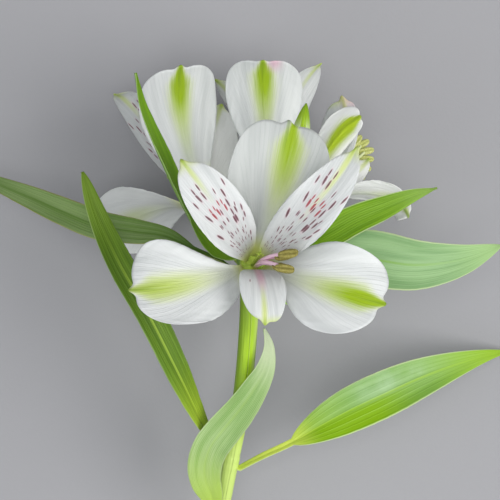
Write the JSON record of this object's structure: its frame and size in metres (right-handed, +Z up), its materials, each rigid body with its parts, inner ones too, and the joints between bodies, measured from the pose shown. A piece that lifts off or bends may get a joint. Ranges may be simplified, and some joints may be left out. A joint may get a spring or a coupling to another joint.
{
  "type": "alstroemeria stem",
  "caption": "Cut stem of white alstroemeria lying on its side: green-striped outer and spotted inner tepals, a closed bud, and twisted lance-shaped leaves.",
  "frame": {"origin": "on the surface the stem lies on, under the middle of its bounding box", "axes": "+Z up from the surface; +Y from the cut end of the stem towards the flower head; the nearest flower faces +Z"},
  "size_m": [0.179, 0.2068, 0.0968],
  "materials": {
    "stem": "satin",
    "stalk": "satin",
    "stamens": "matte",
    "bud": "satin",
    "leaf": "satin",
    "outer_tepal": "matte",
    "inner_tepal": "matte"
  },
  "bodies": {
    "root": {"stem": "stem", "front_pistil": "stalk", "front_stamens": "stamens", "front_outer_top": "outer_tepal", "front_outer_left": "outer_tepal", "front_outer_right": "outer_tepal", "front_inner_left": "inner_tepal", "front_inner_right": "inner_tepal", "front_inner_bottom": "inner_tepal", "left_pistil": "stalk", "left_stamens": "stamens", "left_outer_top": "outer_tepal", "left_outer_left": "outer_tepal", "left_outer_under": "outer_tepal", "left_inner_left": "inner_tepal", "left_inner_right": "inner_tepal", "left_inner_under": "inner_tepal", "back_pistil": "stalk", "back_stamens": "stamens", "back_outer_top": "outer_tepal", "back_outer_left": "outer_tepal", "back_outer_right": "outer_tepal", "back_inner_left": "inner_tepal", "back_inner_right": "inner_tepal", "back_inner_under": "inner_tepal", "right_pistil": "stalk", "right_stamens": "stamens", "right_outer_top": "outer_tepal", "right_outer_right": "outer_tepal", "right_outer_under": "outer_tepal", "right_inner_top": "inner_tepal", "right_inner_left": "inner_tepal", "right_inner_under": "inner_tepal", "bud_stalk": "stalk", "bud": "bud", "leaf_long_left": "leaf", "leaf_low_front": "leaf", "leaf_low_right": "leaf", "leaf_whorl_left": "leaf", "leaf_whorl_upright": "leaf", "leaf_whorl_right": "leaf", "leaf_whorl_high_right": "leaf", "leaf_whorl_small": "leaf"}
  },
  "joints": []
}
